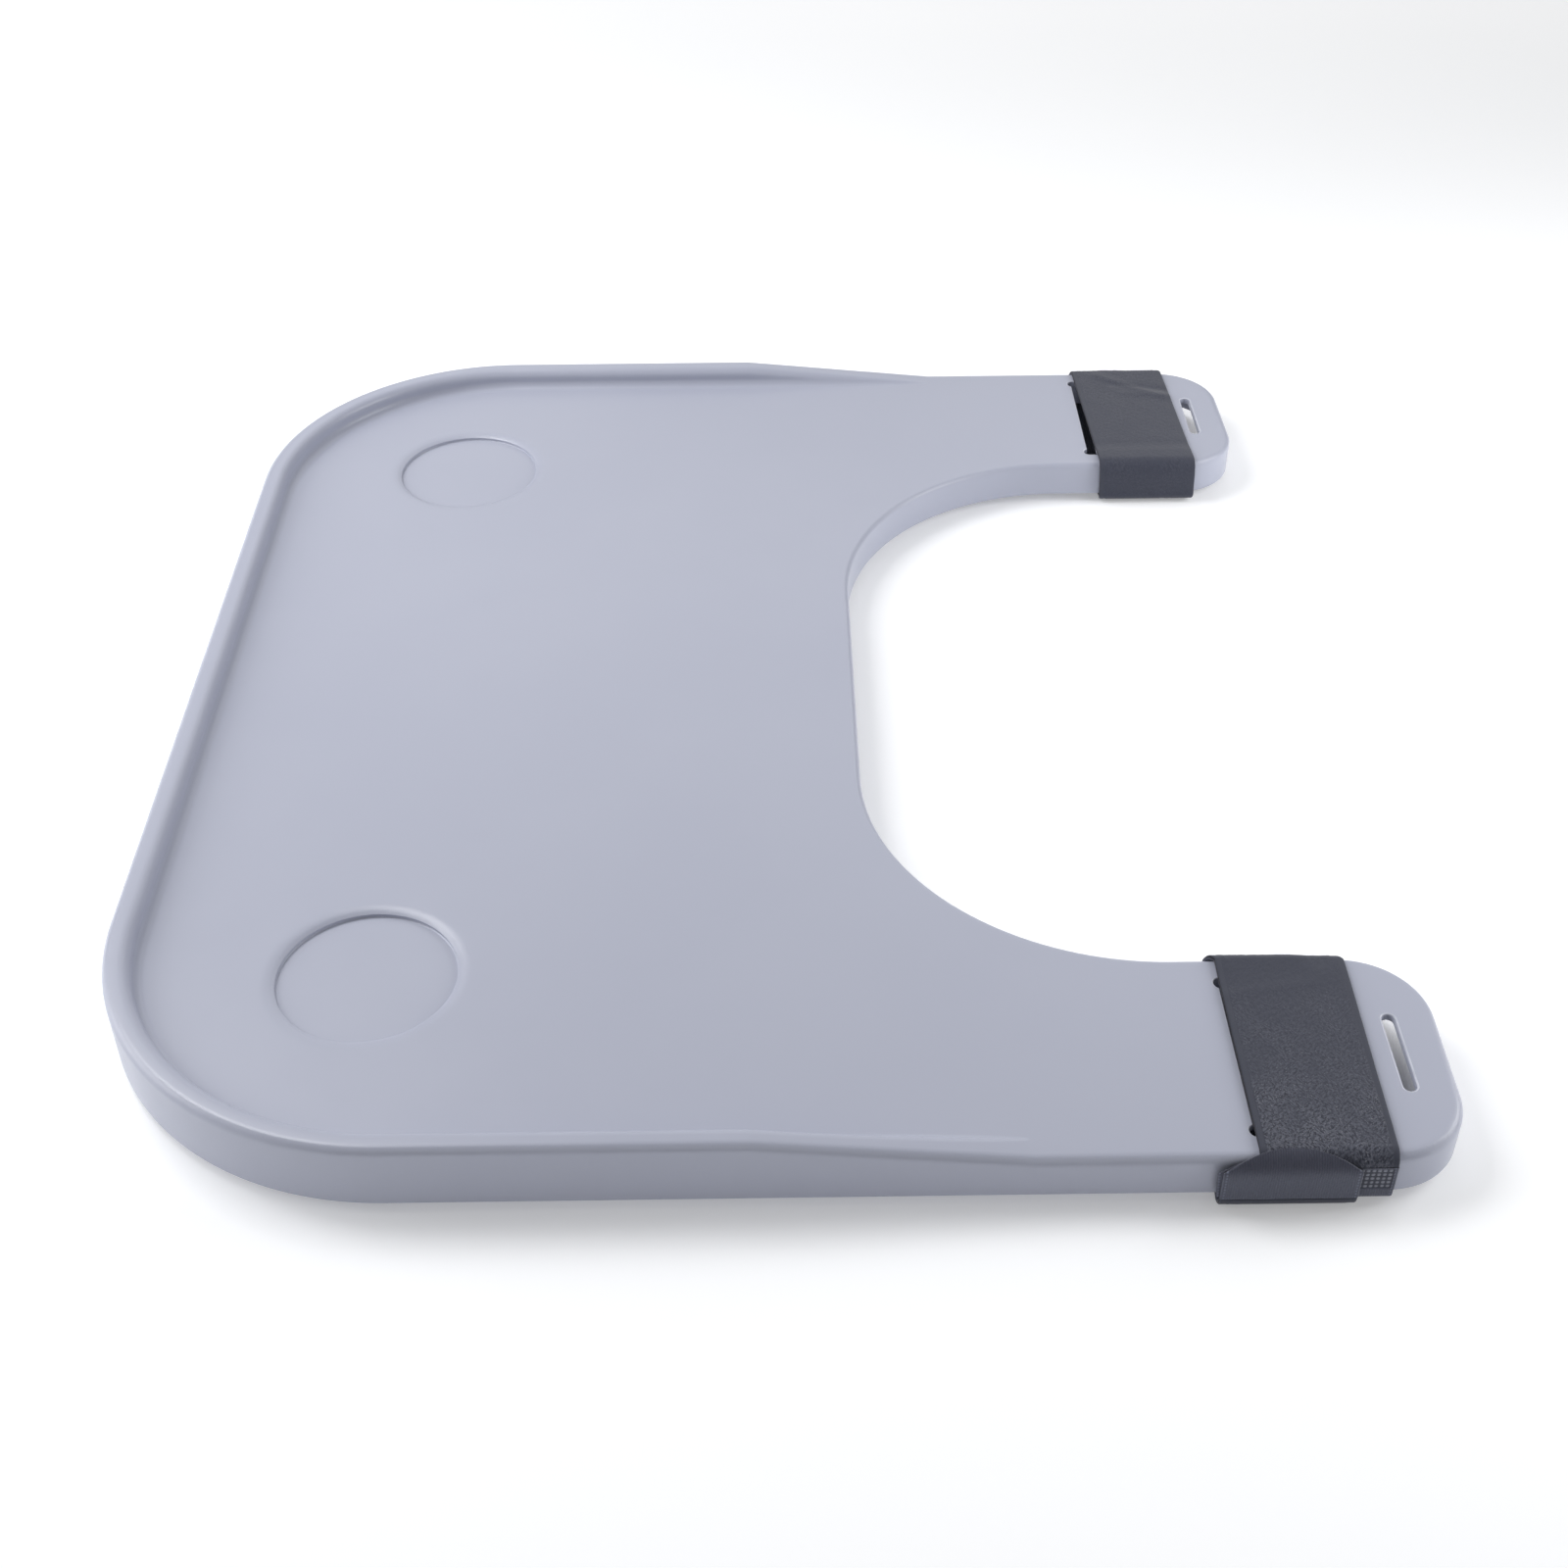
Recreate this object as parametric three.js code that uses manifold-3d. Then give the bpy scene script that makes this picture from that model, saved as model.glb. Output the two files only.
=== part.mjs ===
// Wheelchair tray table: one moulded tray, open underneath, with a webbing strap closed round each arm.
// Millimetres. +X runs from the front edge to the ends of the arms, +Y across the tray and +Z up.
// The origin is below the middle of the tray, on the surface that the straps rest on.

import * as THREE from "three";
import { mergeVertices } from "three/addons/utils/BufferGeometryUtils.js";
import Module from "manifold-3d";

const wasm = await Module();
wasm.setup();

// Outline of the tray, seen from above
const trayLength = 510;
const trayWidth = 580;
const frontCornerRadius = 121;
const armWidth = 101.6;
const armCornerRadius = 31;
const cutoutDepth = 211;
const cutoutRadius = 116.4;

// Section of the tray, with heights from the underside of its skirt
const boardHeight = 18;
const sheetThickness = 3;
const skirtThickness = 3;
const armEdgeRadius = 2.6;
const cutoutEdgeRadius = 2.6;
const hemRadius = 0.8;

// Raised rim round the front and sides, which runs down to the board along the arms
const rimRise = 10;
const rimOuterRadius = 3;
const rimCrestWidth = 3;
const rimInnerRadius = 4.5;
const rimCoveRadius = 4;
const rimFootMargin = 3;
const rimTaperStart = 250;
const rimTaperLength = 102;

// Two shallow round recesses for cups
const cupFromFront = 102.6;
const cupFromMiddle = 190.6;
const cupRadius = 34.9;
const cupDepth = 3;
const cupFootRadius = 0.5;
const cupLipWidth = 7;
const cupLipDrop = 2.3;
const cupLipPower = 2.6;

// Long slot across each arm, with a lobe at each end
const longSlotFromArmEnd = 76;
const longSlotLength = 80.5;
const longSlotWidth = 5.2;
const lobeWidth = 8.8;
const lobeLength = 5.6;

// Short slot nearer the end of each arm
const shortSlotFromArmEnd = 18.1;
const shortSlotLength = 38.8;
const shortSlotWidth = 4.9;
const slotLipRadius = 0.8;

// Webbing of both straps
const webbingWidth = 49.4;
const webbingThickness = 1.9;
const clearance = 0.3;
const weldThickness = 0.8;
const weldBottom = 3.2;
const weldTop = 14.6;
const tailRun = 60;
const tailApproach = 14;
const foldSlack = 1;
const creaseHeight = 1.2;
const tabEndRise = 8.7;

// Each strap: its side of the tray, its place on top of the arm's outer edge, and how far it lies from
// there toward the arm's end: on the outer wall, at the inner edge, past the inner fold, at the foot of
// the inner wall and at its tab. Last comes how far the tab reaches up.
const nearStrap = { name: "near", side: -1 };
nearStrap.fromArmEnd = 54.7;
nearStrap.startDrift = 0;
nearStrap.topDrift = 1.2;
nearStrap.foldDrift = -2.5;
nearStrap.wallDrift = -4.5;
nearStrap.tabDrift = -13;
nearStrap.tabLength = 22;
const farStrap = { name: "far", side: 1 };
farStrap.fromArmEnd = 52.2;
farStrap.startDrift = -1.6;
farStrap.topDrift = 3.5;
farStrap.foldDrift = 3.9;
farStrap.wallDrift = 4.5;
farStrap.tabDrift = -6;
farStrap.tabLength = 15.4;

// One overrun for every cut, and the number of steps in each kind of round
const overrun = 1;
const edgeSteps = 4;
const hemSteps = 2;
const rimArcSteps = 4;
const frontCornerSteps = 16;
const armCornerSteps = 7;
const cutoutSteps = 14;
const taperSteps = 6;
const cupSegments = 64;
const cupFootSteps = 4;
const cupLipSteps = 6;
const slotEndSteps = 6;
const foldSteps = 6;
const domeSteps = 8;

const quarterTurn = Math.PI / 2;
const tapeLayer = webbingThickness + clearance;
const lift = clearance + webbingThickness + tapeLayer;
const armEndX = trayLength / 2;
const frontX = -trayLength / 2;
const sideY = trayWidth / 2;
const armInnerY = sideY - armWidth;
const armMiddleY = sideY - armWidth / 2;

const trayPlastic = new THREE.MeshStandardMaterial({ color: 0xb8bbc9, roughness: 0.45, metalness: 0 });
const loopWebbing = new THREE.MeshStandardMaterial({ color: 0x4a4c58, roughness: 0.95, metalness: 0 });
const hookWebbing = new THREE.MeshStandardMaterial({ color: 0x484a56, roughness: 0.75, metalness: 0 });

// Closed surface through rings of equal point count, each one counterclockwise about the way they follow.
// Where neighbouring points meet, the triangles between them are left out.
function loft(rings) {
  const count = rings[0].length;
  const last = (rings.length - 1) * count;
  const corners = rings.flat().flatMap((point) => point.toArray());
  const faces = [];
  for (let row = 0; row < last; row += count) {
    for (let i = 0; i < count; i += 1) {
      const next = (i + 1) % count;
      faces.push(row + i, row + next, row + count + next);
      faces.push(row + i, row + count + next, row + count + i);
    }
  }
  for (const [a, b, c] of capFaces(rings[0])) faces.push(c, b, a);
  for (const [a, b, c] of capFaces(rings.at(-1))) faces.push(last + a, last + b, last + c);
  const geometry = new THREE.BufferGeometry();
  geometry.setAttribute("position", new THREE.Float32BufferAttribute(corners, 3));
  geometry.setIndex(faces);
  return closed(geometry);
}

// Triangles of a flat ring, turned the same way as the ring
function capFaces(ring) {
  const normal = new THREE.Vector3();
  ring.forEach((point, i) => normal.add(point.clone().cross(ring[(i + 1) % ring.length])));
  normal.normalize();
  const across = ring[1].clone().sub(ring[0]).normalize();
  const along = normal.clone().cross(across);
  const flat = ring.map((point) => new THREE.Vector2(point.dot(across), point.dot(along)));
  return THREE.ShapeUtils.triangulateShape(flat, []);
}

// The same geometry with shared corners and no triangle that has shrunk to a line
function closed(geometry) {
  const bare = geometry.clone();
  bare.deleteAttribute("normal");
  bare.deleteAttribute("uv");
  const merged = mergeVertices(bare);
  const faces = [];
  for (let i = 0; i < merged.index.count; i += 3) {
    const [a, b, c] = [0, 1, 2].map((step) => merged.index.getX(i + step));
    if (a !== b && b !== c && c !== a) faces.push(a, b, c);
  }
  merged.setIndex(faces);
  return merged;
}

function solidOf(geometry) {
  const shell = closed(geometry);
  const vertProperties = shell.attributes.position.array;
  const triVerts = new Uint32Array(shell.index.array);
  return new wasm.Manifold(new wasm.Mesh({ numProp: 3, vertProperties, triVerts }));
}

function geometryOf(solid) {
  const { vertProperties, triVerts } = solid.getMesh();
  const geometry = new THREE.BufferGeometry();
  geometry.setAttribute("position", new THREE.BufferAttribute(vertProperties, 3));
  geometry.setIndex(new THREE.BufferAttribute(triVerts, 1));
  return geometry;
}

function steps(count, value) {
  return Array.from({ length: count + 1 }, (_, i) => value(i / count));
}

function named(name, geometry, material) {
  geometry.computeVertexNormals();
  const mesh = new THREE.Mesh(geometry, material);
  mesh.name = name;
  return mesh;
}

// The tray's outline as columns: a place on the outside wall, the way into the tray, how far the rim
// rises there and how round the top edge is.
function arcColumns(x, y, radius, start, turn, count, rise, edge) {
  const inward = -Math.sign(turn);
  return steps(count, (share) => {
    const angle = start + turn * share;
    const out = new THREE.Vector2(Math.cos(angle), Math.sin(angle));
    const place = new THREE.Vector2(x, y).addScaledVector(out, radius);
    return { place, into: out.multiplyScalar(inward), rise, edge };
  });
}

// The rim's fall along the side at y, from its full height to none
function taperColumns(y) {
  const into = new THREE.Vector2(0, -Math.sign(y));
  return steps(taperSteps, (share) => {
    const x = frontX + rimTaperStart + rimTaperLength * share;
    const edge = THREE.MathUtils.lerp(rimOuterRadius, armEdgeRadius, share);
    return { place: new THREE.Vector2(x, y), into, rise: rimRise * (1 - share), edge };
  });
}

function halfOutline() {
  const cutoutX = armEndX - cutoutDepth + cutoutRadius;
  const cutoutY = -(armInnerY - cutoutRadius);
  const armX = armEndX - armCornerRadius;
  const frontArcX = frontX + frontCornerRadius;
  const frontArcY = frontCornerRadius - sideY;
  return [
    ...arcColumns(frontArcX, frontArcY, frontCornerRadius, -2 * quarterTurn, quarterTurn,
      frontCornerSteps, rimRise, rimOuterRadius),
    ...taperColumns(-sideY),
    ...arcColumns(armX, armCornerRadius - sideY, armCornerRadius, -quarterTurn, quarterTurn,
      armCornerSteps, 0, armEdgeRadius),
    ...arcColumns(armX, -armInnerY - armCornerRadius, armCornerRadius, 0, quarterTurn,
      armCornerSteps, 0, armEdgeRadius),
    ...arcColumns(cutoutX, cutoutY, cutoutRadius, -quarterTurn, -quarterTurn,
      cutoutSteps, 0, cutoutEdgeRadius),
  ];
}

function outline() {
  const near = halfOutline();
  const far = near.map(({ place, into, rise, edge }) => ({
    place: new THREE.Vector2(place.x, -place.y),
    into: new THREE.Vector2(into.x, -into.y),
    rise,
    edge,
  }));
  return [...near, ...far.reverse()];
}

// How far the two arcs of the rim's inner wall turn where the rim rises this much
function wallTurn(rise) {
  return Math.acos(Math.max(1 - rise / (rimInnerRadius + rimCoveRadius), 0));
}

const wallInset = rimOuterRadius + rimCrestWidth + rimInnerRadius;
const floorInset = wallInset + rimCoveRadius + rimFootMargin;

// Upper face of a column as [inset, height] pairs: hem, outside wall, crest, inner wall, cove and floor
function upperSection({ rise, edge }) {
  const crest = boardHeight + rise;
  const turn = wallTurn(rise);
  const crestEnd = wallInset - rimInnerRadius * Math.sin(turn);
  const coveEnd = wallInset + rimCoveRadius * Math.sin(turn);
  return [
    ...steps(hemSteps, (share) => {
      const angle = quarterTurn * share;
      return [hemRadius * (1 - Math.sin(angle)), hemRadius * (1 - Math.cos(angle))];
    }),
    ...steps(edgeSteps, (share) => {
      const angle = quarterTurn * share;
      return [edge * (1 - Math.cos(angle)), crest - edge * (1 - Math.sin(angle))];
    }),
    ...steps(rimArcSteps, (share) => {
      const angle = turn * share;
      return [crestEnd + rimInnerRadius * Math.sin(angle), crest - rimInnerRadius * (1 - Math.cos(angle))];
    }),
    ...steps(rimArcSteps, (share) => {
      const angle = turn * (1 - share);
      return [coveEnd - rimCoveRadius * Math.sin(angle), boardHeight + rimCoveRadius * (1 - Math.cos(angle))];
    }),
    [floorInset, boardHeight],
  ];
}

// Lower face of a column, one sheet thickness inside the upper one, with a channel up under the rim
function lowerSection({ rise }) {
  const crest = boardHeight + rise;
  const turn = wallTurn(rise);
  const crestRadius = Math.max(rimInnerRadius - sheetThickness, 0);
  const coveRadius = rimCoveRadius + sheetThickness;
  const crestEnd = wallInset - rimInnerRadius * Math.sin(turn);
  const coveEnd = wallInset + rimCoveRadius * Math.sin(turn);
  return [
    [skirtThickness, -overrun],
    [skirtThickness, crest - sheetThickness],
    ...steps(rimArcSteps, (share) => {
      const angle = turn * share;
      return [
        crestEnd + crestRadius * Math.sin(angle),
        crest - rimInnerRadius + crestRadius * Math.cos(angle),
      ];
    }),
    ...steps(rimArcSteps, (share) => {
      const angle = turn * (1 - share);
      return [
        coveEnd - coveRadius * Math.sin(angle),
        boardHeight + rimCoveRadius - coveRadius * Math.cos(angle),
      ];
    }),
    [floorInset, boardHeight - sheetThickness],
  ];
}

// Solid whose wall follows a section at each column of the outline
function outlineSolid(columns, section) {
  const sections = columns.map(section);
  const rings = sections[0].map((_, row) =>
    columns.map(({ place, into }, i) => {
      const [inset, height] = sections[i][row];
      return new THREE.Vector3(place.x + into.x * inset, place.y + into.y * inset, height);
    }),
  );
  return solidOf(loft(rings));
}

function revolved(profile, x, y) {
  const points = profile.map(([radius, height]) => new THREE.Vector2(radius, height));
  const geometry = new THREE.LatheGeometry(points, cupSegments);
  return solidOf(geometry.rotateX(quarterTurn).translate(x, y, 0));
}

// Recess for a cup: flat floor, tight foot and a wide soft lip that levels out into the board
function cupRecess(x, y) {
  const floor = boardHeight - cupDepth;
  const wall = cupRadius + cupFootRadius;
  return revolved(
    [
      [0, floor],
      ...steps(cupFootSteps, (share) => {
        const angle = quarterTurn * share;
        return [cupRadius + cupFootRadius * Math.sin(angle), floor + cupFootRadius * (1 - Math.cos(angle))];
      }),
      ...steps(cupLipSteps, (share) => [
        wall + cupLipWidth * share,
        boardHeight - cupLipDrop * (1 - share) ** cupLipPower,
      ]),
      [wall + cupLipWidth, boardHeight + overrun],
      [0, boardHeight + overrun],
    ],
    x,
    y,
  );
}

// Underside of a cup recess, which stands down from the board by the depth of the recess
function cupBoss(x, y) {
  const round = cupFootRadius + sheetThickness;
  const bottom = boardHeight - cupDepth - sheetThickness;
  return revolved(
    [
      [0, bottom],
      ...steps(cupFootSteps, (share) => {
        const angle = quarterTurn * share;
        return [cupRadius + round * Math.sin(angle), bottom + round * (1 - Math.cos(angle))];
      }),
      [cupRadius + round, boardHeight - sheetThickness / 2],
      [0, boardHeight - sheetThickness / 2],
    ],
    x,
    y,
  );
}

// Ring of a rectangle with round corners, centred on x and y
function roundedRing(x, y, sizeX, sizeY, radius, height) {
  const quarters = [
    [1, 1, 0],
    [-1, 1, 1],
    [-1, -1, 2],
    [1, -1, 3],
  ];
  return quarters.flatMap(([signX, signY, quarter]) =>
    steps(slotEndSteps, (share) => {
      const angle = quarterTurn * (quarter + share);
      const cornerX = x + signX * (sizeX / 2 - radius);
      const cornerY = y + signY * (sizeY / 2 - radius);
      return new THREE.Vector3(cornerX + radius * Math.cos(angle), cornerY + radius * Math.sin(angle), height);
    }),
  );
}

// Cutter for an opening with round ends that flares into a soft lip at the top
function slotCutter(x, y, sizeX, sizeY) {
  const radius = Math.min(sizeX, sizeY) / 2;
  const ring = (flare, height) =>
    roundedRing(x, y, sizeX + 2 * flare, sizeY + 2 * flare, radius + flare, height);
  return solidOf(
    loft([
      ring(0, boardHeight - sheetThickness - overrun),
      ...steps(edgeSteps, (share) => {
        const angle = quarterTurn * share;
        const flare = slotLipRadius * (1 - Math.cos(angle));
        return ring(flare, boardHeight - slotLipRadius * (1 - Math.sin(angle)));
      }),
      ring(slotLipRadius, boardHeight + overrun),
    ]),
  );
}

function armSlots(side) {
  const y = side * armMiddleY;
  const longX = armEndX - longSlotFromArmEnd;
  const lobeY = (longSlotLength - lobeLength) / 2;
  return [
    slotCutter(longX, y, longSlotWidth, longSlotLength - lobeLength),
    slotCutter(longX, y - lobeY, lobeWidth, lobeLength),
    slotCutter(longX, y + lobeY, lobeWidth, lobeLength),
    slotCutter(armEndX - shortSlotFromArmEnd, y, shortSlotWidth, shortSlotLength),
  ];
}

function trayShell() {
  const columns = outline();
  let tray = outlineSolid(columns, upperSection).subtract(outlineSolid(columns, lowerSection));
  for (const side of [-1, 1]) {
    const cupX = frontX + cupFromFront;
    tray = tray.add(cupBoss(cupX, side * cupFromMiddle));
    tray = tray.subtract(cupRecess(cupX, side * cupFromMiddle));
    for (const cutter of armSlots(side)) tray = tray.subtract(cutter);
  }
  const mesh = named("tray_shell", geometryOf(tray), trayPlastic);
  mesh.position.z = lift;
  return mesh;
}

// Way round an arm's section, which starts up the outside wall at the hem. Each leg gives a place on the
// arm, with w away from the tray's middle and z up, and the way out from it. Its length is that of a tape
// whose middle lies this far off the arm.
function armPath(offset) {
  const legs = [];
  const straight = (w, z, dw, dz, length) =>
    legs.push({
      length,
      count: 1,
      at: (share) => ({ w: w + dw * length * share, z: z + dz * length * share, outW: dz, outZ: -dw }),
    });
  const corner = (w, z, radius, quarter) =>
    legs.push({
      length: (radius + offset) * quarterTurn,
      count: foldSteps,
      at: (share) => {
        const angle = quarterTurn * (quarter + share);
        const [outW, outZ] = [Math.cos(angle), Math.sin(angle)];
        return { w: w + radius * outW, z: z + radius * outZ, outW, outZ };
      },
    });
  const outerRound = armEdgeRadius;
  const innerRound = cutoutEdgeRadius;
  straight(sideY, hemRadius, 0, 1, boardHeight - hemRadius - outerRound);
  corner(sideY - outerRound, boardHeight - outerRound, outerRound, 0);
  straight(sideY - outerRound, boardHeight, -1, 0, armWidth - outerRound - innerRound);
  corner(armInnerY + innerRound, boardHeight - innerRound, innerRound, 1);
  straight(armInnerY, boardHeight - innerRound, 0, -1, boardHeight - innerRound - hemRadius);
  corner(armInnerY + hemRadius, hemRadius, hemRadius, 2);
  straight(armInnerY + hemRadius, 0, 1, 0, armWidth - 2 * hemRadius);
  corner(sideY - hemRadius, hemRadius, hemRadius, 3);
  const joints = [0];
  for (const leg of legs) joints.push(joints.at(-1) + leg.length);
  const round = joints.at(-1);
  const at = (s) => {
    const local = ((s % round) + round) % round;
    const leg = Math.min(joints.findLastIndex((joint) => joint <= local), legs.length - 1);
    return legs[leg].at((local - joints[leg]) / legs[leg].length);
  };
  const marks = legs.flatMap((leg, i) =>
    steps(leg.count, (share) => joints[i] + leg.length * share),
  );
  return { joints, round, at, marks: [...marks, ...marks.map((mark) => mark + round)] };
}

// Places along a path from one length to another: both ends, every fold and the extra ones asked for
function stations(path, from, to, extra = []) {
  const inside = [...path.marks, ...extra].filter((s) => s > from && s < to);
  return [from, ...inside.sort((a, b) => a - b), to];
}

// Flat tape along a path. shape(s) gives its inner and outer distance from the arm, its middle along the
// arm and half its width. A step in its thickness is written as two stations at one length.
function tape(side, path, lengths, shape) {
  const rings = lengths.map((s, i) => {
    const { w, z, outW, outZ } = path.at(s);
    const { inner, outer, middle, half } = shape(s, i);
    const point = (x, off) => new THREE.Vector3(x, side * (w + outW * off), z + outZ * off);
    const ring = [
      point(middle - half, inner),
      point(middle + half, inner),
      point(middle + half, outer),
      point(middle - half, outer),
    ];
    return side > 0 ? ring : ring.reverse();
  });
  return loft(rings);
}

// Value at a length, between the [length, value] pairs on either side of it
function between(pairs, s) {
  const next = pairs.findIndex(([length]) => length > s);
  if (next < 1) return pairs.at(next)[1];
  const [from, low] = pairs[next - 1];
  const [to, high] = pairs[next];
  return THREE.MathUtils.mapLinear(s, from, to, low, high);
}

const firstLayer = { inner: clearance, outer: clearance + webbingThickness };
const secondLayer = { inner: firstLayer.inner + tapeLayer, outer: firstLayer.outer + tapeLayer };
const firstPath = armPath((firstLayer.inner + firstLayer.outer) / 2);
const secondPath = armPath((secondLayer.inner + secondLayer.outer) / 2);

// Main tape: from its weld on the arm's outside wall over the top, down the inside and back underneath,
// below the hook tail, to the crease at the foot of the outside wall
function loopTape({ name, side, startDrift, topDrift, foldDrift, wallDrift, tabDrift }) {
  const { joints, round } = firstPath;
  const drifts = [
    [joints[1], startDrift],
    [joints[2], 0],
    [joints[3], topDrift],
    [joints[4], foldDrift],
    [joints[6], wallDrift],
    [joints[7], tabDrift],
  ];
  const weldEnd = weldBottom - hemRadius;
  const weldStep = weldTop + clearance - hemRadius;
  const tailEnd = joints[7] - tailRun;
  const rampStart = tailEnd - 2 * tailApproach;
  const rampEnd = tailEnd - tailApproach;
  const end = round + creaseHeight - hemRadius;
  const lengths = stations(firstPath, weldEnd, end, [rampStart, rampEnd]);
  lengths.splice(1, 0, weldStep, weldStep);
  const shape = (s, i) => {
    const slack = THREE.MathUtils.clamp((s - joints[4]) / (joints[5] - joints[4]), 0, 1);
    const drop = THREE.MathUtils.clamp((s - rampStart) / (rampEnd - rampStart), 0, 1);
    const inner = firstLayer.inner + THREE.MathUtils.lerp(foldSlack * slack, tapeLayer, drop);
    const thickness = i < 2 ? weldThickness : webbingThickness;
    return { inner, outer: inner + thickness, middle: between(drifts, s), half: webbingWidth / 2 };
  };
  return named(name + "_loop_tape", tape(side, firstPath, lengths, shape), loopWebbing);
}

// Short hook tape under the arm, its upper end welded over the start of the main tape
function hookTail({ name, side, startDrift }) {
  const { joints, round } = firstPath;
  const start = joints[7] - tailRun;
  const weldStep = round + weldBottom - clearance - hemRadius;
  const end = round + weldTop - hemRadius;
  const lengths = [...stations(firstPath, start, weldStep), weldStep, end];
  const shape = (s, i) => ({
    inner: i < lengths.length - 2 ? firstLayer.inner : firstLayer.outer - weldThickness,
    outer: firstLayer.outer,
    middle: startDrift,
    half: webbingWidth / 2,
  });
  return named(name + "_hook_tail", tape(side, firstPath, lengths, shape), hookWebbing);
}

// Closing tab: rises from the crease, lies over the weld and ends in an arc that rolls over the top edge
function hookTab({ name, side, tabDrift, tabLength }) {
  const start = creaseHeight + clearance - hemRadius;
  const end = start + tabLength;
  const half = webbingWidth / 2;
  const radius = (half ** 2 + tabEndRise ** 2) / (2 * tabEndRise);
  const fullTurn = Math.asin(half / radius);
  const tipTurn = fullTurn / domeSteps / 2;
  const domeLengths = steps(domeSteps, (share) => {
    const turn = THREE.MathUtils.lerp(fullTurn, tipTurn, share);
    return end - radius * (1 - Math.cos(turn));
  });
  const lengths = [start, ...domeLengths];
  const shape = (s) => {
    const rise = Math.max(radius - (end - s), 0);
    const width = s < end - tabEndRise ? half : Math.sqrt(radius ** 2 - rise ** 2);
    return { ...secondLayer, middle: tabDrift, half: Math.min(width, half) };
  };
  const mesh = named(name + "_hook_tab", tape(side, secondPath, lengths, shape), hookWebbing);
  const crease = new THREE.Vector3(0, side * (sideY + secondLayer.outer), creaseHeight + clearance / 2);
  mesh.geometry.translate(-crease.x, -crease.y, -crease.z);
  mesh.position.copy(crease);
  return mesh;
}

function strap(settings) {
  const group = new THREE.Group();
  group.position.set(armEndX - settings.fromArmEnd, 0, lift);
  group.add(loopTape(settings), hookTail(settings), hookTab(settings));
  return group;
}

const trayTable = new THREE.Group();
trayTable.add(trayShell(), strap(nearStrap), strap(farStrap));

export default trayTable;
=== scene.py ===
import math
import bpy
import bmesh
import numpy as np
from mathutils import Matrix, Vector, geometry


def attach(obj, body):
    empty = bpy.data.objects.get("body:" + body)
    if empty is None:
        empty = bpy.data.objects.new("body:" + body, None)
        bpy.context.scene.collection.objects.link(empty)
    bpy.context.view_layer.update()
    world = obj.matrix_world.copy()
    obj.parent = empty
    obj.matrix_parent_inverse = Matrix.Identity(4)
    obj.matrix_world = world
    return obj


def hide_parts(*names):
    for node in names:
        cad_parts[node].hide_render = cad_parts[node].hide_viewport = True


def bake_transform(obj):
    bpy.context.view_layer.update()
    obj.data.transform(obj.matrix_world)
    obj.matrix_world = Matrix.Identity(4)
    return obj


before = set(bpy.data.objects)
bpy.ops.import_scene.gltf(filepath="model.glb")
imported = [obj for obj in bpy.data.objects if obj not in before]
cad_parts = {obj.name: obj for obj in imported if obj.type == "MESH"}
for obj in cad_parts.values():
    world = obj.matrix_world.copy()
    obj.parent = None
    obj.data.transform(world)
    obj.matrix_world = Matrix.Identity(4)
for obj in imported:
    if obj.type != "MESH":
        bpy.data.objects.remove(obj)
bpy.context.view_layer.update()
print("stage: frame loaded")

scene = bpy.context.scene
mm = 0.001
quarter = math.pi / 2


# Camera at the photograph's place, fitted to the tray's edges, cups and slots: metres and radians
cameraSettings = {
    "place": (0.005455, -0.778996, 0.590543),
    "pitch": 0.6804976,
    "yaw": 0.0077250,
    "roll": -0.0073518,
    "lens": 48.2228,
    "sensor": 36.0,
    "clipStart": 0.01,
}


def makeCamera(settings):
    pitch, yaw, roll = settings["pitch"], settings["yaw"], settings["roll"]
    reach = math.cos(pitch)
    ahead = Vector((math.sin(yaw) * reach, math.cos(yaw) * reach, -math.sin(pitch)))
    right = Vector((math.cos(yaw), -math.sin(yaw), 0))
    up = right.cross(ahead)
    turnedRight = right * math.cos(roll) + up * math.sin(roll)
    turnedUp = up * math.cos(roll) - right * math.sin(roll)
    data = bpy.data.cameras.new("camera")
    data.lens = settings["lens"]
    data.sensor_width = settings["sensor"]
    data.clip_start = settings["clipStart"]
    camera = bpy.data.objects.new("camera", data)
    scene.collection.objects.link(camera)
    turn = Matrix((turnedRight, turnedUp, -ahead)).transposed()
    camera.matrix_world = Matrix.Translation(settings["place"]) @ turn.to_4x4()
    scene.camera = camera


makeCamera(cameraSettings)
print("stage: camera")


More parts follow.
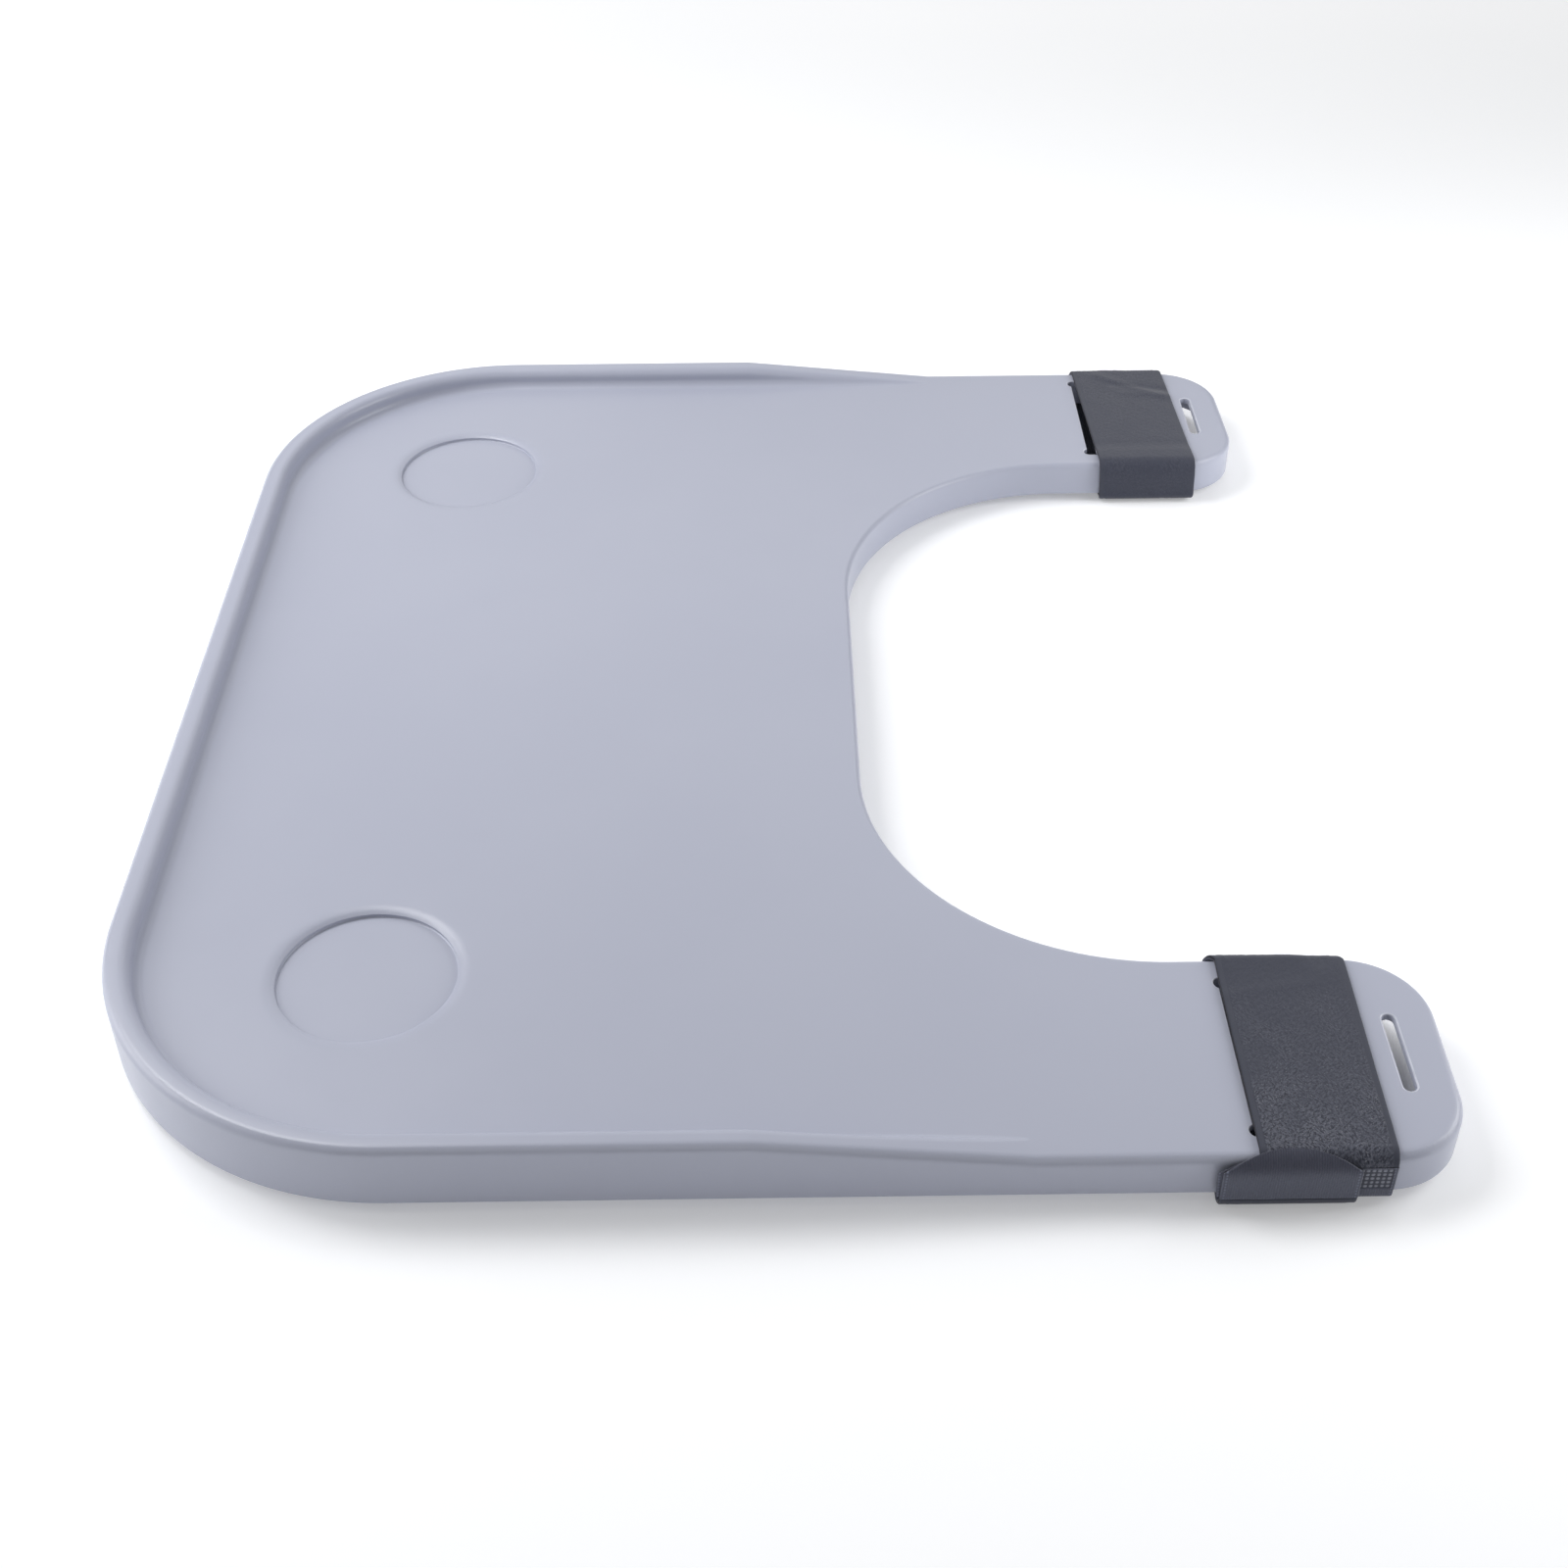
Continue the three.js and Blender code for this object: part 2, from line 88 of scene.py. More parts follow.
# Materials: small helpers around the node tree
class Nodes:
    def __init__(self, name):
        self.material = bpy.data.materials.new(name)
        self.material.use_nodes = True
        self.tree = self.material.node_tree
        self.shader = next(n for n in self.tree.nodes if n.type == "BSDF_PRINCIPLED")

    def add(self, kind, values=None, **links):
        node = self.tree.nodes.new(kind)
        for key, value in (values or {}).items():
            if key in node.inputs:
                node.inputs[key].default_value = value
            else:
                setattr(node, key, value)
        for key, source in links.items():
            self.link(source, node.inputs[key])
        return node

    def link(self, source, target):
        self.tree.links.new(source, target)

    def into(self, socket, source):
        self.link(source, self.shader.inputs[socket])

    def surface(self, values):
        for socket, value in values.items():
            self.shader.inputs[socket].default_value = value

    def math(self, operation, first, second=0.0):
        node = self.tree.nodes.new("ShaderNodeMath")
        node.operation = operation
        for socket, value in zip(node.inputs, (first, second)):
            if isinstance(value, (int, float)):
                socket.default_value = value
            else:
                self.link(value, socket)
        return node.outputs[0]

    def plus(self, first, second):
        return self.math("ADD", first, second)

    def minus(self, first, second):
        return self.math("SUBTRACT", first, second)

    def times(self, first, second):
        return self.math("MULTIPLY", first, second)

    def ramp(self, source, stops, smooth=False):
        node = self.tree.nodes.new("ShaderNodeValToRGB")
        node.color_ramp.interpolation = "EASE" if smooth else "LINEAR"
        elements = node.color_ramp.elements
        while len(elements) < len(stops):
            elements.new(0.5)
        for element, (at, colour) in zip(elements, stops):
            element.position = at
            element.color = colour if len(colour) == 4 else (*colour, 1)
        self.link(source, node.inputs[0])
        return node.outputs[0]

    def shades(self, source, places, first, last, smooth=False):
        return self.ramp(source, [(places[0], first), (places[1], last)], smooth)

    def noise(self, coordinates, scale, detail=2.0, roughness=0.5):
        values = {"Scale": scale, "Detail": detail, "Roughness": roughness}
        return self.add("ShaderNodeTexNoise", values, Vector=coordinates).outputs[0]

    def bump(self, height, strength, distance):
        return self.add("ShaderNodeBump", {"Strength": strength, "Distance": distance}, Height=height).outputs[0]

    def scaled(self, coordinates, scale, turn=0.0):
        if turn:
            coordinates = self.add("ShaderNodeMapping", {"Rotation": (0, 0, turn)}, Vector=coordinates).outputs[0]
        return self.add("ShaderNodeMapping", {"Scale": scale}, Vector=coordinates).outputs[0]

    def span(self, source, low, high, first=0.0, last=1.0):
        values = {"interpolation_type": "SMOOTHSTEP", "From Min": low, "From Max": high,
                  "To Min": first, "To Max": last}
        return self.add("ShaderNodeMapRange", values, Value=source).outputs[0]


def grey(value):
    return (value, value, value, 1)


plasticSettings = {
    "light": (0.418, 0.437, 0.527, 1),
    "dark": (0.410, 0.429, 0.520, 1),
    "cloudScale": 9.0,
    "cloudStops": (0.35, 0.65),
    "grainScale": 850.0,
    "grainDepth": 0.00009,
    "grainLeavesWall": (0.1, 0.4),  # height of the face's normal where the grain comes
    "grainMeetsFlat": (0.93, 0.995),  # and where it goes again
    "glossScale": 60.0,
    "glossStops": (0.3, 0.7),
    "roughLow": 0.285,
    "roughHigh": 0.34,
    "ior": 1.47,
}


# Rounded lips of the slots, painted paler: a painted highlight along their edges
lipHighlightSettings = {
    "light": (0.60, 0.62, 0.70, 1),
    "dark": (0.52, 0.54, 0.62, 1),
    "cloudScale": 120.0,
}


# Satin moulded plastic: slow clouds of tone and gloss, and a fine spark-eroded grain on its rounded edges
def plasticMaterial(name, c):
    m = Nodes(name)
    source = m.add("ShaderNodeTexCoord")
    place = source.outputs["Object"]
    cloud = m.noise(place, c["cloudScale"], 3.0)
    m.into("Base Color", m.shades(cloud, c["cloudStops"], c["dark"], c["light"], True))
    level = m.add("ShaderNodeSeparateXYZ", Vector=source.outputs["Normal"]).outputs[2]
    sloping = m.times(m.span(level, *c["grainLeavesWall"]), m.span(level, *c["grainMeetsFlat"], 1.0, 0.0))
    grain = m.times(m.noise(place, c["grainScale"], 2.0, 0.6), sloping)
    gloss = m.noise(place, c["glossScale"], 4.0)
    m.into("Roughness", m.shades(gloss, c["glossStops"], grey(c["roughLow"]), grey(c["roughHigh"])))
    m.into("Normal", m.bump(grain, 1.0, c["grainDepth"]))
    m.surface({"IOR": c["ior"]})
    return m.material


trayPlastic = plasticMaterial("trayPlastic", plasticSettings)
lipHighlightPlastic = plasticMaterial("lipHighlightPlastic", {**plasticSettings, **lipHighlightSettings})


def meshObject(name, points, faces, material):
    data = bpy.data.meshes.new(name)
    data.from_pydata([tuple(p) for p in points], [], faces)
    data.materials.append(material)
    obj = bpy.data.objects.new(name, data)
    scene.collection.objects.link(obj)
    return obj


# Faces turned outwards, smooth shading, and crisp edges where the form has them
def shaded(obj, sharpAngle, joinPoints=False):
    work = bmesh.new()
    work.from_mesh(obj.data)
    if joinPoints:
        bmesh.ops.remove_doubles(work, verts=work.verts, dist=1e-6)
        bmesh.ops.dissolve_degenerate(work, dist=1e-7, edges=work.edges)
    bmesh.ops.recalc_face_normals(work, faces=work.faces)
    work.to_mesh(obj.data)
    work.free()
    obj.data.shade_smooth()
    obj.data.set_sharp_from_angle(angle=math.radians(sharpAngle))
    return obj


# Normals weighed by the faces' size, so that shading stays true on the flats
def trueFlats(obj, weight):
    weigh = obj.modifiers.new("weigh", "WEIGHTED_NORMAL")
    weigh.keep_sharp = True
    weigh.weight = weight
    graph = bpy.context.evaluated_depsgraph_get()
    data = bpy.data.meshes.new_from_object(obj.evaluated_get(graph))
    obj.modifiers.clear()
    obj.data = data
    return obj


# Tray: the source's outline and sections, in finer steps. Lengths in millimetres from the skirt's underside.
traySettings = {
    "length": 510.0, "width": 580.0, "lift": 4.4,
    "frontRadius": 121.0, "armWidth": 101.6, "armRadius": 31.0,
    "cutoutDepth": 211.0, "cutoutRadius": 116.4,
    "board": 18.0, "sheet": 3.0, "skirt": 3.0, "skirtCorner": 1.0,
    "armEdge": 3.8, "cutoutEdge": 2.6, "hem": 0.8, "besideEdge": 1.0,
    "rimRise": 10.0, "rimOuter": 3.5, "rimCrest": 2.5, "rimInner": 4.5, "rimCove": 4.0,
    "taperStart": 250.0, "taperLength": 102.0, "pastTaper": 30.25,
    "cupX": 102.6, "cupY": 190.6, "cupRadius": 34.9, "cupDepth": 3.0, "cupFoot": 0.5,
    "cupLip": 6.2, "cupDrop": 1.5, "cupLipPower": 2.6,
    "longX": 76.0, "longLength": 80.5, "longWidth": 5.2, "lobeWidth": 8.8, "lobeLength": 5.6,
    "shortX": 18.1, "shortLength": 38.8, "shortWidth": 4.9, "slotLip": 0.8,
    "frontSteps": 48, "armSteps": 20, "cutoutSteps": 40, "taperSteps": 36, "arcSteps": 8, "hemSteps": 3,
    "cupSteps": 128, "footSteps": 4, "slotSteps": 10, "lipSteps": 5, "highlightRows": 3,
    "sharpAngle": 38, "normalWeight": 80,
}


def shares(count):
    return [i / count for i in range(count + 1)]


# Places round the outline, each with its way in, its rim's rise (none where there is no rim) and its edge radius
def trayColumns(t):
    columns = []

    def arc(x, y, radius, start, turn, count, edge, rise=None):
        for share in shares(count):
            angle = start + turn * share
            out = np.array((math.cos(angle), math.sin(angle)))
            columns.append((np.array((x, y)) + radius * out, -math.copysign(1, turn) * out, rise, edge))

    side, front, end = t["width"] / 2, -t["length"] / 2, t["length"] / 2
    inner = side - t["armWidth"]
    arc(front + t["frontRadius"], t["frontRadius"] - side, t["frontRadius"], math.pi, quarter,
        t["frontSteps"], t["rimOuter"], t["rimRise"])
    for share in shares(t["taperSteps"]):
        edge = t["rimOuter"] + (t["armEdge"] - t["rimOuter"]) * share
        place = np.array((front + t["taperStart"] + t["taperLength"] * share, -side))
        columns.append((place, np.array((0.0, 1.0)), t["rimRise"] * (1 - share), edge))
    lastPlace, lastInto, _, _ = columns[-1]
    columns.append((lastPlace + np.array((t["pastTaper"], 0)), lastInto, None, t["armEdge"]))
    arc(end - t["armRadius"], t["armRadius"] - side, t["armRadius"], -quarter, quarter,
        t["armSteps"], t["armEdge"])
    arc(end - t["armRadius"], -inner - t["armRadius"], t["armRadius"], 0, quarter,
        t["armSteps"], t["cutoutEdge"])
    arc(end - t["cutoutDepth"] + t["cutoutRadius"], t["cutoutRadius"] - inner, t["cutoutRadius"],
        -quarter, -quarter, t["cutoutSteps"], t["cutoutEdge"])
    flip = np.array((1, -1))
    otherSide = [(place * flip, into * flip, rise, edge) for place, into, rise, edge in reversed(columns)]
    return columns + otherSide


def wallInset(t):
    return t["rimOuter"] + t["rimCrest"] + t["rimInner"]


def floorInset(t):
    return wallInset(t) + t["rimCove"] + t["rimCrest"]


# Rim of a given rise: its top, the turn of its two inner arcs, and where the crest's arc starts and the cove's ends
def rimShape(t, rise):
    turn = math.acos(1 - rise / (t["rimInner"] + t["rimCove"]))
    crestStart = wallInset(t) - t["rimInner"] * math.sin(turn)
    coveEnd = wallInset(t) + t["rimCove"] * math.sin(turn)
    return t["board"] + rise, turn, crestStart, coveEnd


# Insets and heights of the upper face; a column with no rise has no rim, and its rim rows meet beside the edge
def upperSection(t, rise, edge):
    if rise is None:
        rows = upperSection(t, 0, edge)
        bare = t["hemSteps"] + 1 + t["arcSteps"] + 1
        return rows[:bare] + [(edge + t["besideEdge"], t["board"])] * (len(rows) - bare)
    crest, turn, crestStart, coveEnd = rimShape(t, rise)
    points = []
    for share in shares(t["hemSteps"]):
        angle = quarter * share
        points.append((t["hem"] * (1 - math.sin(angle)), t["hem"] * (1 - math.cos(angle))))
    for share in shares(t["arcSteps"]):
        angle = quarter * share
        points.append((edge * (1 - math.cos(angle)), crest - edge * (1 - math.sin(angle))))
    for share in shares(t["arcSteps"]):
        angle = turn * share
        points.append((crestStart + t["rimInner"] * math.sin(angle),
                       crest - t["rimInner"] * (1 - math.cos(angle))))
    for share in shares(t["arcSteps"]):
        angle = turn * (1 - share)
        points.append((coveEnd - t["rimCove"] * math.sin(angle),
                       t["board"] + t["rimCove"] * (1 - math.cos(angle))))
    return points + [(floorInset(t), t["board"])]


# The same for the underside, a sheet's thickness below
def lowerSection(t, rise):
    if rise is None:
        rows = lowerSection(t, 0)
        return rows[:4] + [rows[3]] * (len(rows) - 4)
    crest, turn, crestStart, coveEnd = rimShape(t, rise)
    crestRadius, coveRadius = max(t["rimInner"] - t["sheet"], 0), t["rimCove"] + t["sheet"]
    ceiling, corner = crest - t["sheet"], t["skirtCorner"]
    points = [(t["skirt"], 0), (t["skirt"], ceiling - corner), (t["skirt"] + 0.3 * corner, ceiling - 0.3 * corner),
              (t["skirt"] + corner, ceiling)]
    for share in shares(t["arcSteps"]):
        angle = turn * share
        points.append((crestStart + crestRadius * math.sin(angle),
                       crest - t["rimInner"] + crestRadius * math.cos(angle)))
    for share in shares(t["arcSteps"]):
        angle = turn * (1 - share)
        points.append((coveEnd - coveRadius * math.sin(angle),
                       t["board"] + t["rimCove"] - coveRadius * math.cos(angle)))
    return points + [(floorInset(t), t["board"] - t["sheet"])]


# Loop of a slot's edge, widened by flare: a capsule, or a capsule with a cross lobe at each end
def slotLoop(t, x, y, long, flare):
    def capsule(length, half, steps):
        reach = length / 2 - half
        turns = [(q, quarter * (q + s)) for q in range(4) for s in shares(steps)]
        return [(half * math.cos(turn), reach * (1 if q < 2 else -1) + half * math.sin(turn)) for q, turn in turns]

    if not long:
        loop = capsule(t["shortLength"] + 2 * flare, t["shortWidth"] / 2 + flare, t["slotSteps"])
        return [(x + px, y + py) for px, py in loop]
    half = t["longWidth"] / 2 + flare
    lobeHalf, lobeReach = t["lobeLength"] / 2 + flare, t["lobeWidth"] / 2 - t["lobeLength"] / 2
    centre = (t["longLength"] - t["lobeLength"]) / 2
    neck = -math.sqrt(max(lobeHalf ** 2 - max(half - lobeReach, 0) ** 2, 0))
    start = math.atan2(neck, half - lobeReach)
    right = [(lobeReach + lobeHalf * math.cos(a), centre + lobeHalf * math.sin(a))
             for a in (start + (quarter - start) * s for s in shares(2 * t["slotSteps"]))]
    top = right + [(-px, py) for px, py in reversed(right)]
    return [(x + px, y + py) for px, py in top + [(-px, -py) for px, py in top]]


def circleLoop(x, y, radius, count):
    return [(x + radius * math.cos(2 * math.pi * i / count), y + radius * math.sin(2 * math.pi * i / count))
            for i in range(count)]


# Out and up along a quarter round, from its top down
def roundFoot(radius, count):
    turns = [quarter * s for s in reversed(shares(count))]
    return [(radius * math.sin(turn), radius * (1 - math.cos(turn))) for turn in turns]


def inside(place, loop):
    x, y = place
    crossings = 0
    for (ax, ay), (bx, by) in zip(loop, loop[1:] + loop[:1]):
        if (ay > y) != (by > y) and x < ax + (bx - ax) * (y - ay) / (by - ay):
            crossings += 1
    return crossings % 2 == 1


def makeTray(t, material, lipHighlightMaterial):
    columns = trayColumns(t)
    points, faces, lips = [], [], []
    topHoles, underHoles = [], []
    board, under = t["board"], t["board"] - t["sheet"]

    def ring(loop, height):
        first = len(points)
        points.extend((px, py, height) for px, py in loop)
        return list(range(first, len(points)))

    def band(lower, upper):
        for i in range(len(lower)):
            j = (i + 1) % len(lower)
            faces.append((lower[i], lower[j], upper[j], upper[i]))

    def sectionRings(sections):
        rings = []
        for row in range(len(sections[0])):
            first = len(points)
            for (place, into, _, _), section in zip(columns, sections):
                inset, height = section[row]
                points.append((*(place + into * inset), height))
            rings.append(list(range(first, len(points))))
        return rings

    # A cup's rings from its rim to its floor, closed by the floor; the first ring is its hole in the flat
    def cupSide(x, y, profile, upward):
        rings = [ring(circleLoop(x, y, radius, t["cupSteps"]), height) for radius, height in profile]
        for a, b in zip(rings, rings[1:]):
            band(*((a, b) if upward else (b, a)))
        faces.append(tuple(rings[-1] if upward else reversed(rings[-1])))
        return rings[0]

    def cup(x, y):
        wall, boss = t["cupRadius"] + t["cupFoot"], t["cupFoot"] + t["sheet"]
        profile = [(wall + t["cupLip"] * s, board - t["cupDrop"] * (1 - s) ** t["cupLipPower"])
                   for s in reversed(shares(2 * t["arcSteps"]))]
        profile += [(t["cupRadius"] + out, board - t["cupDepth"] + up)
                    for out, up in roundFoot(t["cupFoot"], t["footSteps"])]
        topHoles.append(cupSide(x, y, profile, True))
        profile = [(t["cupRadius"] + boss, under)]
        profile += [(t["cupRadius"] + out, under - t["cupDepth"] + up)
                    for out, up in roundFoot(boss, t["arcSteps"]) if up < t["cupDepth"] - 0.05]
        underHoles.append(cupSide(x, y, profile, False))

    def slot(x, y, long):
        rings = []
        for s in reversed(shares(t["lipSteps"])):
            flare = t["slotLip"] * (1 - math.cos(quarter * s))
            drop = t["slotLip"] * (1 - math.sin(quarter * s))
            rings.append(ring(slotLoop(t, x, y, long, flare), board - drop))
        rings.append(ring(slotLoop(t, x, y, long, 0), under))
        for row, (a, b) in enumerate(zip(rings, rings[1:])):
            first = len(faces)
            band(a, b)
            # The top rows of each slot's lip take the paler plastic, a painted highlight
            if row < t["highlightRows"]:
                lips.extend(range(first, len(faces)))
        topHoles.append(rings[0])
        underHoles.append(rings[-1])

    # Flat sheet inside an outline, in triangles, left open at its holes
    def flat(outer, holes, upward):
        index, edges = [], []
        for loop in (outer, *holes):
            kept = [i for i, j in zip(loop, loop[1:] + loop[:1]) if math.dist(points[i], points[j]) > 1e-4]
            first = len(index)
            index.extend(kept)
            edges.extend((first + i, first + (i + 1) % len(kept)) for i in range(len(kept)))
        flatPoints = [Vector(points[i][:2]) for i in index]
        _, _, triangles, origins, _, _ = geometry.delaunay_2d_cdt(flatPoints, edges, [], 1, 1e-5)
        for triangle in triangles:
            corners = [index[origins[i][0]] for i in triangle]
            middle = np.mean([points[i][:2] for i in corners], axis=0)
            if not any(inside(middle, [points[i][:2] for i in loop]) for loop in holes):
                faces.append(tuple(corners if upward else reversed(corners)))

    upper = sectionRings([upperSection(t, rise, edge) for _, _, rise, edge in columns])
    lower = sectionRings([lowerSection(t, rise) for _, _, rise, _ in columns])
    for a, b in zip(upper, upper[1:]):
        band(a, b)
    for a, b in zip(lower, lower[1:]):
        band(b, a)
    band(lower[0], upper[0])
    for side in (-1, 1):
        cup(t["cupX"] - t["length"] / 2, side * t["cupY"])
        for long in (True, False):
            x = t["length"] / 2 - (t["longX"] if long else t["shortX"])
            slot(x, side * (t["width"] - t["armWidth"]) / 2, long)
    flat(upper[-1], topHoles, True)
    flat(lower[-1], underHoles, False)
    placed = [(px * mm, py * mm, (pz + t["lift"]) * mm) for px, py, pz in points]
    moulding = meshObject("trayMoulding", placed, faces, material)
    moulding.data.materials.append(lipHighlightMaterial)
    for i in lips:
        moulding.data.polygons[i].material_index = 1
    shaded(moulding, t["sharpAngle"], True)
    return trueFlats(moulding, t["normalWeight"])


tray = makeTray(traySettings, trayPlastic, lipHighlightPlastic)
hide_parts("tray_shell")
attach(tray, "tray")
print("stage: tray", len(tray.data.vertices))


# Webbing materials. Their coordinates are millimetres along and across each tape.
tapeHalf = 24.7  # half of the webbing's width
fullTurn = 2 * math.pi

loopSettings = {
    "quiet": (0.044, 0.048, 0.069),
    "dark": (0.024, 0.026, 0.040),
    "light": (0.108, 0.114, 0.146),
    "paintedGlint": (0.24, 0.25, 0.28),
    "selvage": (0.050, 0.054, 0.075),
    "side": (0.012, 0.012, 0.018),
    "selvageWidth": 2.8, "selvageSoft": 0.6, "shadedSideBand": (0.35, 0.1),
    "wornScale": 0.055, "wornStops": (0.35, 0.62), "wornLeast": 0.55,
    "leans": (-0.78, 0.55), "fibreScale": (0.62, 1.3, 1.0), "patchScale": 0.13, "patchStops": (0.46, 0.58),
    "pileStops": (0.40, 0.61), "loopScale": 1.5, "paintedGlintStops": (0.61, 0.70),
    "grainFrom": 18.0, "grainRun": 90.0,
    "grain": ((0.0, 1.0), (0.26, 0.95), (0.42, 0.5), (0.8, 0.34), (0.95, 0.08)),
    "streakHeight": 0.6, "loopHeight": 0.4, "grainShownHeight": 0.85, "quietHeight": 0.15, "depth": 0.0006,
    "rough": 0.92, "sheen": 0.22, "sheenRough": 0.5, "specular": 0.25,
}


# The far tape's copy shows its grain and painted glints less, and lies smoother; its quiet pile is a little lighter
farLoopSettings = {
    "grain": ((0.0, 0.35), (0.5, 0.25), (1.0, 0.15)),
    "quiet": (0.046, 0.050, 0.072),
}


def tapeCoordinates(m):
    return m.add("ShaderNodeUVMap", {"uv_map": "tape"}).outputs[0]


def mixColour(m, share, first, second):
    node = m.tree.nodes.new("ShaderNodeMix")
    node.data_type = "RGBA"
    sockets = [s for s in node.inputs if s.type == "RGBA"]
    for socket, value in zip(sockets, (first, second)):
        if isinstance(value, tuple):
            socket.default_value = (*value[:3], 1)
        else:
            m.link(value, socket)
    m.link(share, node.inputs["Factor"])
    return next(s for s in node.outputs if s.type == "RGBA")


# Loop pile: leaning fibres in short streaks that change their slant, with stray loops whose tips are painted pale as
# painted glints. Streaks and glints show most by the outside edge, as painted light. A smooth selvage at each side,
# and the rounded side painted dark as painted shade
def loopMaterial(name, c):
    m = Nodes(name)
    tape = tapeCoordinates(m)
    split = m.add("ShaderNodeSeparateXYZ", Vector=tape)
    across = m.math("ABSOLUTE", split.outputs[1])
    selvageFrom = tapeHalf - c["selvageWidth"]
    selvage = m.span(across, selvageFrom, selvageFrom + c["selvageSoft"])
    # Dark band on the tape's rounded side: painted shade
    side = m.span(across, *(tapeHalf - inset for inset in c["shadedSideBand"]))
    worn = m.span(m.noise(tape, c["wornScale"]), *c["wornStops"], c["wornLeast"], 1.0)
    # Grain and painted glints along the tape, strongest by the outside edge: painted light
    run = m.math("DIVIDE", m.minus(split.outputs[0], c["grainFrom"]), c["grainRun"])
    grainAndGlint = m.times(m.ramp(run, [(at, grey(value)) for at, value in c["grain"]]), worn)
    grainAndGlint = m.times(grainAndGlint, m.minus(1.0, selvage))
    left, right = (m.noise(m.scaled(tape, c["fibreScale"], lean), 1.0, 2.0, 0.7) for lean in c["leans"])
    patch = m.span(m.noise(tape, c["patchScale"], 1.0), *c["patchStops"])
    streaks = m.plus(left, m.times(patch, m.minus(right, left)))
    loops = m.noise(tape, c["loopScale"], 2.0, 0.6)
    pile = m.shades(streaks, c["pileStops"], c["dark"], c["light"])
    # Pale tips of the stray loops: painted glints
    bright = mixColour(m, m.span(loops, *c["paintedGlintStops"]), pile, c["paintedGlint"])
    face = mixColour(m, grainAndGlint, c["quiet"], bright)
    face = mixColour(m, selvage, face, c["selvage"])
    m.into("Base Color", mixColour(m, side, face, c["side"]))
    pileHeight = m.plus(m.times(streaks, c["streakHeight"]), m.times(loops, c["loopHeight"]))
    height = m.times(pileHeight, m.plus(m.times(grainAndGlint, c["grainShownHeight"]), c["quietHeight"]))
    m.into("Normal", m.bump(height, 0.9, c["depth"]))
    m.surface({"Roughness": c["rough"], "Sheen Weight": c["sheen"], "Sheen Roughness": c["sheenRough"],
               "Specular IOR Level": c["specular"]})
    return m.material


hookSettings = {
    "dark": (0.034, 0.037, 0.058),
    "light": (0.066, 0.070, 0.106),
    "palerDark": (0.056, 0.062, 0.090),
    "palerLight": (0.110, 0.119, 0.164),
    "toneStops": (0.1, 0.9), "toneGain": 0.9, "toneBase": 0.1,
    "palerTab": (10.0, 17.0), "palerTail": (170.0, 171.0),
    "rib": 0.9, "pick": 0.55, "driftScale": 0.35, "ribDrift": 0.6, "ribShare": 0.6, "crossShare": 0.9,
    "fibreStretch": (0.45, 1.6, 1.0), "fibreScale": 1.2, "weaveHeight": 0.4, "fibreHeight": 0.8, "depth": 0.0004,
    "stitchInset": 1.3, "stitchEdge": (0.2, 0.5), "stitchRate": 4.2, "stitchDash": (-0.3, 0.3),
    "stitchShare": 0.6, "stitchPaler": 1.6,
    "rough": 0.72, "sheen": 0.2, "specular": 0.35,
}


# Woven back of the hook tape: fine ribs along its length, crossed by finer picks, paler along the first 10 to 17 mm
# up the outside wall and again past 170 mm, with a line of stitches beside each edge
def hookMaterial(c):
    m = Nodes("hookWebbing")
    tape = tapeCoordinates(m)
    split = m.add("ShaderNodeSeparateXYZ", Vector=tape)
    along, across = split.outputs[0], split.outputs[1]
    drift = m.times(m.minus(m.noise(tape, c["driftScale"]), 0.5), c["ribDrift"])
    ribPhase = m.times(m.plus(across, drift), fullTurn / c["rib"])
    pickPhase = m.times(along, fullTurn / c["pick"])
    ribs = m.times(m.math("COSINE", ribPhase), 0.5)
    picks = m.times(m.math("COSINE", pickPhase), 0.5)
    weave = m.plus(m.times(ribs, c["ribShare"]), m.times(m.times(ribs, picks), c["crossShare"]))
    fibres = m.noise(m.scaled(tape, c["fibreStretch"]), c["fibreScale"], 3.0, 0.7)
    height = m.plus(m.times(weave, c["weaveHeight"]), m.times(fibres, c["fibreHeight"]))
    tone = m.plus(m.times(height, c["toneGain"]), c["toneBase"])
    # Paler along the first 10 to 17 mm and again past 170 mm
    paler = m.math("MAXIMUM", m.span(along, *c["palerTab"], 1.0, 0.0), m.span(along, *c["palerTail"]))
    colour = mixColour(m, paler, m.shades(tone, c["toneStops"], c["dark"], c["light"]),
                       m.shades(tone, c["toneStops"], c["palerDark"], c["palerLight"]))
    fromLine = m.math("ABSOLUTE", m.minus(m.math("ABSOLUTE", across), tapeHalf - c["stitchInset"]))
    edgeLine = m.span(fromLine, *c["stitchEdge"], 1.0, 0.0)
    dashes = m.span(m.math("COSINE", m.times(along, c["stitchRate"])), *c["stitchDash"])
    stitches = m.times(m.times(edgeLine, dashes), c["stitchShare"])
    m.into("Base Color", mixColour(m, stitches, colour, tuple(c["stitchPaler"] * v for v in c["palerLight"])))
    m.into("Normal", m.bump(height, 0.8, c["depth"]))
    m.surface({"Roughness": c["rough"], "Sheen Weight": c["sheen"], "Specular IOR Level": c["specular"]})
    return m.material


weldSettings = {
    "dark": (0.042, 0.046, 0.066),
    "light": (0.205, 0.215, 0.260),
    "toneStops": (0.06, 0.50), "patchScale": 0.35, "patchStops": (0.3, 0.7), "patchTones": (0.6, 1.3),
    "grainScale": 3.0, "grainDepth": 0.0003,
    "pitch": 2.0, "pressDepth": 0.22,
    "startMargin": 0.9, "endMargin": 0.7, "sideMargin": 1.4, "rowStep": 0.25,
    "rough": 0.6, "specular": 0.35,
}


